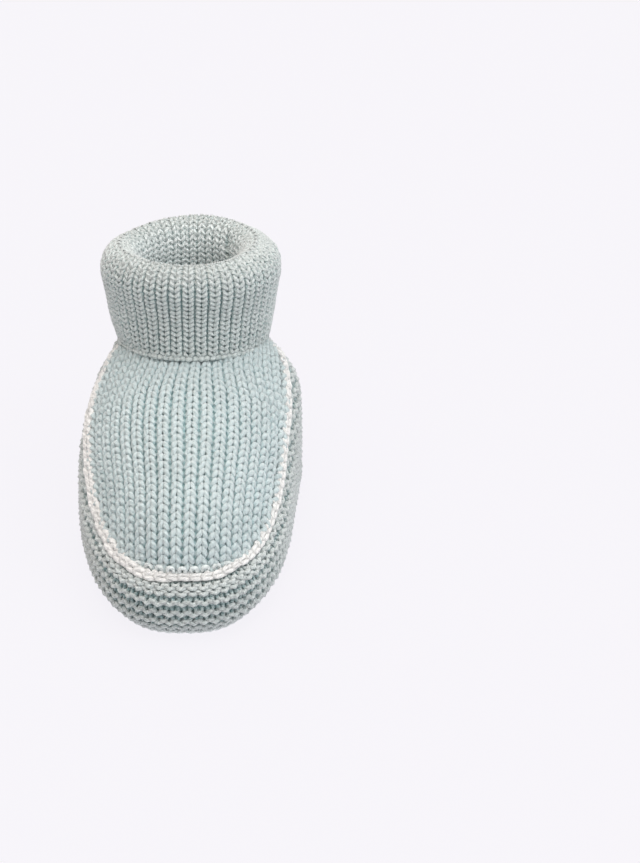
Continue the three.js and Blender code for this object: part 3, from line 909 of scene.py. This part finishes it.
def rib_rows(strands, cloth, ups, reaches, radius, flat_from, flat_to, front=0.55,
             sides=5, inner_from=1000):
    """Rows of rib: knit columns stand out in front, purl columns lie back between them."""
    flatten = 0.6
    t = np.arange(2 * RIB_PAIRS * 10) / 10
    for up, reach in zip(ups, reaches):
        flat = flatten * smooth((up - flat_from) / (flat_to - flat_from), 0, 1)
        side = np.tanh(3.2 * np.sin(TURN * t / 2)) * (1 - flat)
        x = t + 0.3 * np.sin(2 * TURN * t) + wander(t, 0.015)
        y = up - reach * (1 + wander(t, 0.05)) * np.cos(TURN * t) + wander(t, 0.05, 2)
        wave = depth_wave(t, -0.45, 0.42, -0.45)
        lift = side * (front + wave) + wander(t, 0.04)
        angle = rib_angle(x) - 0.5 * RIB_KNIT_SHARE / RIB_PAIRS * TURN
        path, normal = cloth.at(angle, y, lift)
        # Painted shade on the purl columns lying back, and painted light on the flattened rows at the
        # fold.
        relief_shade = 0.4 + lift_share(lift, -0.3, 0.95) + 0.8 * flat
        # Rows past inner_from take the two paler wools in turn: painted light on the inside of the
        # leg.
        slot = 0 if up < inner_from else 2 if up < inner_from + 3 else 3
        strands.strand(path, normal, radius, relief_shade, closed=True, sides=sides, slot=slot)


def rib_backing(strands, cloth, low, high, lift, thickness=0.35):
    # A backing sheet under the rib, in the painted shade colour of the gaps between stitches.
    angle = np.linspace(0, TURN, 168, endpoint=False)[:, None]
    up = np.linspace(low, high, 40)[None, :]
    angle, up = np.broadcast_arrays(angle, up)
    outer, _ = cloth.at(angle, up, np.full(up.shape, lift))
    inner, _ = cloth.at(angle, up, np.full(up.shape, lift - thickness))
    strands.shell(outer, inner, wrap=True)


def turned_cuff():
    strands = Strands()
    cloth, length = rib_cloth(OUTSIDE, (22.6, 26.2), 1.9)
    ups = np.arange(0.6, length + 0.3, RIB_ROW)
    rib_rows(strands, cloth, ups, np.full(len(ups), 1.0), 0.56, length - 9, length - 3)
    rib_backing(strands, cloth, 0.4, length, -0.1)
    return strands.mesh_object("turned_cuff_knit", [rib_wool, backing_shade_wool])


def leg():
    strands = Strands()
    cloth, length = rib_cloth(INSIDE, (10, 22), 0.9)
    near = np.arange(0.6, length - 11.5, RIB_ROW)
    hidden = np.arange(near[-1] + RIB_ROW, length, RIB_ROW * 0.97)
    ups = np.concatenate([near, hidden])
    reaches = np.concatenate([np.full(len(near), 1.0), np.full(len(hidden), 0.97)])
    rib_rows(strands, cloth, ups, reaches, 0.52, 9, 2, front=0.45, inner_from=2.6)
    rib_backing(strands, cloth, 0.2, length - 0.2, 0.1, 0.3)
    # The last two wools are paler copies of the rib wool: painted light on the inside wall.
    wools = [rib_wool, leg_backing_shade_wool, fold_painted_light_wool, inner_painted_light_wool]
    return strands.mesh_object("leg_tube_knit", wools)


# ---- Edgings and seam yarns --------------------------------------------------------------


def chain(strands, cloth_path, pitch, width, radius, height=0.35, closed=False,
          left_stout=0.0):
    """A crochet chain: each link comes out of the link before it. cloth_path(s) gives
    points, outward directions and sideways directions at distances s along the line."""
    total = cloth_path.length
    links = max(3, round(total / pitch))
    pitch = total / links
    turn = np.arange(14) / 14
    for link in range(links):
        place, heading, _ = (grid[0] for grid in cloth_path(np.array([(link + 0.5) * pitch])))
        leftness = max(0.0, -heading[0])
        stout = 1 + leftness * (left_stout - 1.7 * smooth(place[1], 62, 76))
        along = (link + 0.5 - 0.82 * np.cos(TURN * turn)) * pitch
        sideways = width * (1 + rng.normal(0, 0.16)) * np.sin(TURN * turn) + rng.normal(0, 0.12)
        sideways *= 1 - 0.35 * np.cos(TURN * turn)
        lift = height * np.sin(TURN * turn / 2) * 1.2 - 0.25 * np.cos(TURN * turn / 2) ** 8
        point, outward, side = cloth_path(along % total if closed else np.clip(along, 0, total))
        path = point + side * (stout * sideways)[:, None] + outward * lift[:, None]
        strands.strand(path, outward, radius * (0.6 + 0.4 * stout), closed=True, sides=6)


class Line:
    """A line with outward and sideways directions, read by distance along it."""

    def __init__(self, points, outward, closed=False):
        if closed:
            points = np.concatenate([points, points[:1]])
            outward = np.concatenate([outward, outward[:1]])
        step = np.linalg.norm(np.diff(points, axis=0), axis=1)
        self.at = np.concatenate([[0], np.cumsum(step)])
        self.length = self.at[-1]
        self.points = points
        self.outward = outward
        self.tangent = np.gradient(points, axis=0)

    def read(self, grid, s):
        return np.stack([np.interp(s, self.at, grid[:, k]) for k in range(3)], axis=-1)

    def __call__(self, s):
        point = self.read(self.points, s)
        outward = self.read(self.outward, s)
        tangent = self.read(self.tangent, s)
        side = np.cross(outward, tangent)
        side /= np.linalg.norm(side, axis=-1)[..., None] + 1e-9
        outward = np.cross(tangent, side)
        outward /= np.linalg.norm(outward, axis=-1)[..., None] + 1e-9
        return point, outward, side


def overcast(strands, line, radius, coil, pitch, closed=False):
    """Seam yarn that winds over the two edges it joins."""
    turns = max(3, round(line.length / pitch))
    samples = turns * 10
    s = np.arange(samples + (0 if closed else 1)) / samples * line.length
    phase = TURN * np.arange(len(s)) / 10
    point, outward, side = line(s)
    path = point + outward * (coil * np.cos(phase))[:, None] + side * (coil * np.sin(phase))[:, None]
    strands.strand(path, outward + 0.2 * side, radius, closed=closed, sides=6)


def seam_line():
    """The instep seam from the right ankle round the toe to the left ankle."""
    reach = rim[:, 1] < 82.5
    first = int(np.argmax(reach))
    last = len(reach) - int(np.argmax(reach[::-1]))
    points = rim[first:last:3]
    inward = np.concatenate([plan_inward[first:last:3], np.zeros((len(points), 1))], axis=1)
    outward = -inward * 0.75 + np.array([0, 0, 0.66])
    return Line(points - outward * 0.2, outward)


def instep_edging():
    strands = Strands()
    line = seam_line()
    chain(strands, line, 2.9, 0.5, 0.64, left_stout=1.1)
    # Small loops of the chain that stand up on its inner side here and there.
    for along in np.arange(1.5, line.length - 1.5, 1.9):
        if rng.random() < 0.55:
            turn = np.linspace(-0.5, 0.5, 9)
            point, outward, side = line(along + 1.5 * turn + rng.normal(0, 0.2))
            away = 0.55 + (0.55 + rng.normal(0, 0.12)) * np.cos(math.pi * turn)
            path = point - side * away[:, None] + outward * 0.35
            strands.strand(path, outward, 0.42)
    return strands.mesh_object("instep_edging_chain", [white_wool])


def toe_bind_off():
    """Row of loops where the instep columns end above the toe seam."""
    strands = Strands()
    t = np.arange(-4.5 * SAMPLES, 4.5 * SAMPLES + 1) / SAMPLES
    centre = t + 0.5
    x = t + 0.1 * np.sin(2 * TURN * centre)
    up = 1.75 - 0.85 * np.cos(TURN * centre)
    across = x * (TOE_ROW_HALF_WIDTH / 4.5)
    lift = -0.5 + depth_wave(centre, -0.3, 0.1, 0.35)
    path, normal = instep_surface.at(across, up, lift)
    strands.strand(path, normal, 0.52)
    # The loops are in the paler wool: painted light.
    return strands.mesh_object("toe_bind_off_loops", [painted_light_wool])


def ring_line(radius, along, out_tilt=1.0):
    angle = np.linspace(0, TURN, 180, endpoint=False)
    points = on_leg(radius, along, np.sin(angle), np.cos(angle))
    centre = on_leg(0.0, along, 0.0, 0.0)
    outward = points - centre
    outward /= np.linalg.norm(outward, axis=1)[:, None]
    return Line(points, outward * out_tilt - leg_axis * (1 - out_tilt), closed=True)


def cuff_hem():
    """The last loops of the rib, one rounded block under each half of a column."""
    strands = Strands()
    count = 2 * RIB_PAIRS
    t = np.arange(count * 10) / 10
    bulge = np.cos(TURN * t)
    size = 1 + wander(t, 0.12)
    size[-12:] = 1
    path_radius = 20.35 + 0.42 * bulge * size + 0.1 * np.cos(TURN * t / 2)
    place = 0.5 - 0.12 * bulge * size
    angle = (t + 0.08 * np.sin(2 * TURN * t)) / count * TURN
    path_radius = path_radius - 1.9 * side_share(angle)
    path = on_leg(path_radius, place - hem_dip(angle), np.sin(angle), np.cos(angle))
    normal = on_leg(1.0, 0.0, np.sin(angle), np.cos(angle)) - ankle
    # Painted shade: lighter where each block bulges out, darker between the blocks.
    strands.strand(path, normal, 0.66 + 0.2 * bulge * size, 0.45 + 0.35 * bulge, closed=True, sides=8)
    return strands.mesh_object("cuff_hem_loops", [rib_wool])


def sole():
    """Garter stitch under the foot, with its rows running from side to side."""
    strands = Strands()
    points = plan + plan_inward * (SOLE_INSET - 0.9)
    low, high = points[:, 1].min(), points[:, 1].max()
    order_right = points[: toe_index + 1]
    order_left = points[toe_index:]
    rows = int((high - low) / GARTER_ROW)
    for row in range(rows):
        y0 = low + (row + 0.7) * GARTER_ROW
        right = np.interp(-y0, -order_right[:, 1], order_right[:, 0])
        left = np.interp(y0, order_left[:, 1], order_left[:, 0])
        if right - left < 6:
            continue
        t = np.arange(-12 * 9, 12 * 9 + 1) / 9
        wave = 0.55 * (1 if row % 2 else -1)
        x = middle(60) + (t + 0.13 * np.sin(2 * TURN * t)) * GARTER_STITCH
        y = y0 - 1.15 * np.cos(TURN * t) * (1 + wander(t, 0.05))
        z = 1.35 - depth_wave(t, wave, 0.0, -wave)
        inside = (x > left) & (x < right)
        path = np.stack([x, y, z], axis=1)
        normal = np.tile([0.0, 0.0, -1.0], (len(t), 1))
        # Painted shade: the parts of the strands lying deeper in the fabric are coloured darker.
        relief_shade = np.clip(0.5 - (z - 1.35), 0, 1)
        for start, end in runs(inside):
            strands.strand(path[start:end], normal[start:end], 0.55, relief_shade[start:end], sides=5)
    # Backing sheet over the sole, in the paler painted shade colour of the gaps.
    ring = plan[::8] + plan_inward[::8] * (SOLE_INSET - 2.3)
    centre = np.stack([0 * ring[:, 0] + middle(60), ring[:, 1]], axis=1)
    shares = np.linspace(0, 1, 9)
    grid = np.zeros((len(ring), len(shares), 3))
    for k, share in enumerate(shares):
        grid[:, k, :2] = ring * (1 - share) + centre * share
    grid[..., 2] = 2.9
    below = grid.copy()
    below[..., 2] = 1.9
    strands.shell(below, grid, wrap=True)
    return strands.mesh_object("sole_knit", [garter_wool, leg_backing_shade_wool])


def sole_seam():
    strands = Strands()
    points = np.zeros((STATIONS // 4, 3))
    points[:, :2] = plan[::4] + plan_inward[::4] * (BOTTOM_TUCK + 1.9)
    points[:, 2] = 1.05
    outward = np.tile([0.0, 0.0, -1.0], (len(points), 1))
    overcast(strands, Line(points, outward, closed=True), 0.42, 0.5, 2.9, closed=True)
    return strands.mesh_object("sole_seam_stitches", [seam_wool])


def heel_seam():
    strands = Strands()
    ups = np.linspace(1.6, rim_up[0] - 1.2, 60)
    points, outward = wall.at(np.zeros(60), ups, np.full(60, -0.75))
    overcast(strands, Line(points, outward), 0.4, 0.5, 1.6)
    return strands.mesh_object("heel_seam_stitches", [seam_wool])


def ankle_seam():
    strands = Strands()
    overcast(strands, ring_line(18.0, -0.2), 0.42, 0.55, 2.7, closed=True)
    return strands.mesh_object("ankle_seam_stitches", [seam_wool])


def leg_seam():
    strands = Strands()
    angle = math.radians(138)
    along = np.linspace(2.0, 22.0, 50)
    points = on_leg(14.2, along, math.sin(angle), math.cos(angle))
    outward = np.tile(-(leg_front * math.cos(angle) + np.array([math.sin(angle), 0, 0])), (50, 1))
    overcast(strands, Line(points, outward), 0.42, 0.5, 1.9)
    return strands.mesh_object("leg_seam_stitches", [seam_wool])


# ---- Pieces on their bodies ----------------------------------------------------------------

FOLD_ALONG = 26.2
fold_point = world(on_leg(0.0, FOLD_ALONG, 0.0, 0.0))
blend_start = world(on_leg(0.0, 1.0, 0.0, 0.0))
blend_end = world(on_leg(0.0, 11.0, 0.0, 0.0))

for build, node, slot in (
    (sole, "sole", "garter_knit"),
    (side_band, "side_band", "garter_knit"),
    (instep, "instep", "stockinette_knit"),
    (instep_edging, "instep_edging", "white_yarn"),
    (toe_bind_off, "toe_bind_off", "pale_yarn"),
    (sole_seam, "sole_seam_yarn", "seam_yarn"),
    (heel_seam, "heel_seam_yarn", "seam_yarn"),
    (ankle_seam, "ankle_seam_yarn", "seam_yarn"),
):
    piece = build()
    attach(piece, "foot")
    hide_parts(node)

for build, node, slot in ((leg, "leg_tube", "rib_knit"), (leg_seam, "leg_seam_yarn", "seam_yarn")):
    piece = build()
    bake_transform(piece)
    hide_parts(node)

for build, node in ((turned_cuff, "turned_cuff"), (cuff_hem, "cuff_hem")):
    piece = build()
    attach(piece, "cuff")
    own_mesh(piece)
    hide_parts(node)

# ---- Floor, world and lights -----------------------------------------------------------------

BACKGROUND = (0.913, 0.896, 0.939)


def add_floor():
    half = 4.0
    mesh = bpy.data.meshes.new("floor")
    mesh.from_pydata(
        [(-half, -half, 0), (half, -half, 0), (half, half, 0), (-half, half, 0)], [], [(0, 1, 2, 3)]
    )
    floor = bpy.data.objects.new("floor", mesh)
    bpy.context.scene.collection.objects.link(floor)
    material = bpy.data.materials.new("floor")
    material.use_nodes = True
    shader = material.node_tree.nodes["Principled BSDF"]
    shader.inputs["Base Color"].default_value = (0.05, 0.05, 0.05, 1)
    shader.inputs["Roughness"].default_value = 1
    shader.inputs["Specular IOR Level"].default_value = 0
    shader.inputs["Emission Color"].default_value = (*BACKGROUND, 1)
    shader.inputs["Emission Strength"].default_value = 0.95
    mesh.materials.append(material)


def add_light(name, place, size, power, aim=(0.0, 0.0, 0.03)):
    data = bpy.data.lights.new(name, "AREA")
    data.shape = "DISK"
    data.size = size
    data.energy = power
    data.color = (0.93, 0.98, 1.0)
    light = bpy.data.objects.new(name, data)
    light.location = place
    light.rotation_mode = "QUATERNION"
    light.rotation_quaternion = (Vector(aim) - Vector(place)).to_track_quat("-Z", "Y")
    bpy.context.scene.collection.objects.link(light)


def add_studio():
    """Pale walls, a dimmer ring above them and a broad bright ceiling."""
    studio = bpy.data.worlds.new("studio")
    studio.use_nodes = True
    nodes = studio.node_tree.nodes
    links = studio.node_tree.links
    place = nodes.new("ShaderNodeTexCoord")
    split = nodes.new("ShaderNodeSeparateXYZ")
    links.new(place.outputs["Generated"], split.inputs[0])
    ramp = nodes.new("ShaderNodeValToRGB")
    stops = ramp.color_ramp.elements
    for k, (height, level) in enumerate(CEILING):
        stop = stops[k] if k < 2 else stops.new(height)
        stop.position = height
        stop.color = (0.95 * level, 0.91 * level, 0.88 * level, 1)
    links.new(split.outputs["Z"], ramp.inputs["Fac"])
    # The light is warmer and weaker from the left.
    across = nodes.new("ShaderNodeMapRange")
    across.inputs["From Min"].default_value = -1.0
    links.new(split.outputs["X"], across.inputs["Value"])
    sides = nodes.new("ShaderNodeValToRGB")
    sides.color_ramp.elements[0].color = (*LEFT_TINT, 1)
    sides.color_ramp.elements[1].color = (*RIGHT_TINT, 1)
    links.new(across.outputs["Result"], sides.inputs["Fac"])
    product = nodes.new("ShaderNodeVectorMath")
    product.operation = "MULTIPLY"
    links.new(ramp.outputs["Color"], product.inputs[0])
    links.new(sides.outputs["Color"], product.inputs[1])
    links.new(product.outputs["Vector"], nodes["Background"].inputs["Color"])
    bpy.context.scene.world = studio


# Height above the horizon and brightness there; a world ramp's two end stops come first.
CEILING = ((0.0, 0.30), (1.0, 3.0), (0.1, 0.11), (0.45, 0.11), (0.72, 1.25))
LEFT_TINT = (0.72, 0.64, 0.58)
RIGHT_TINT = (1.16, 1.25, 1.32)

add_floor()
add_studio()
bpy.context.scene.view_settings.view_transform = "Standard"
add_light("softbox_right", (0.9, -0.3, 0.9), 0.6, 2.0)
add_light("softbox_front", (0.1, -1.1, 0.75), 0.7, 2.6)
add_light("softbox_back", (-0.2, 1.2, 0.6), 0.7, 1.6)
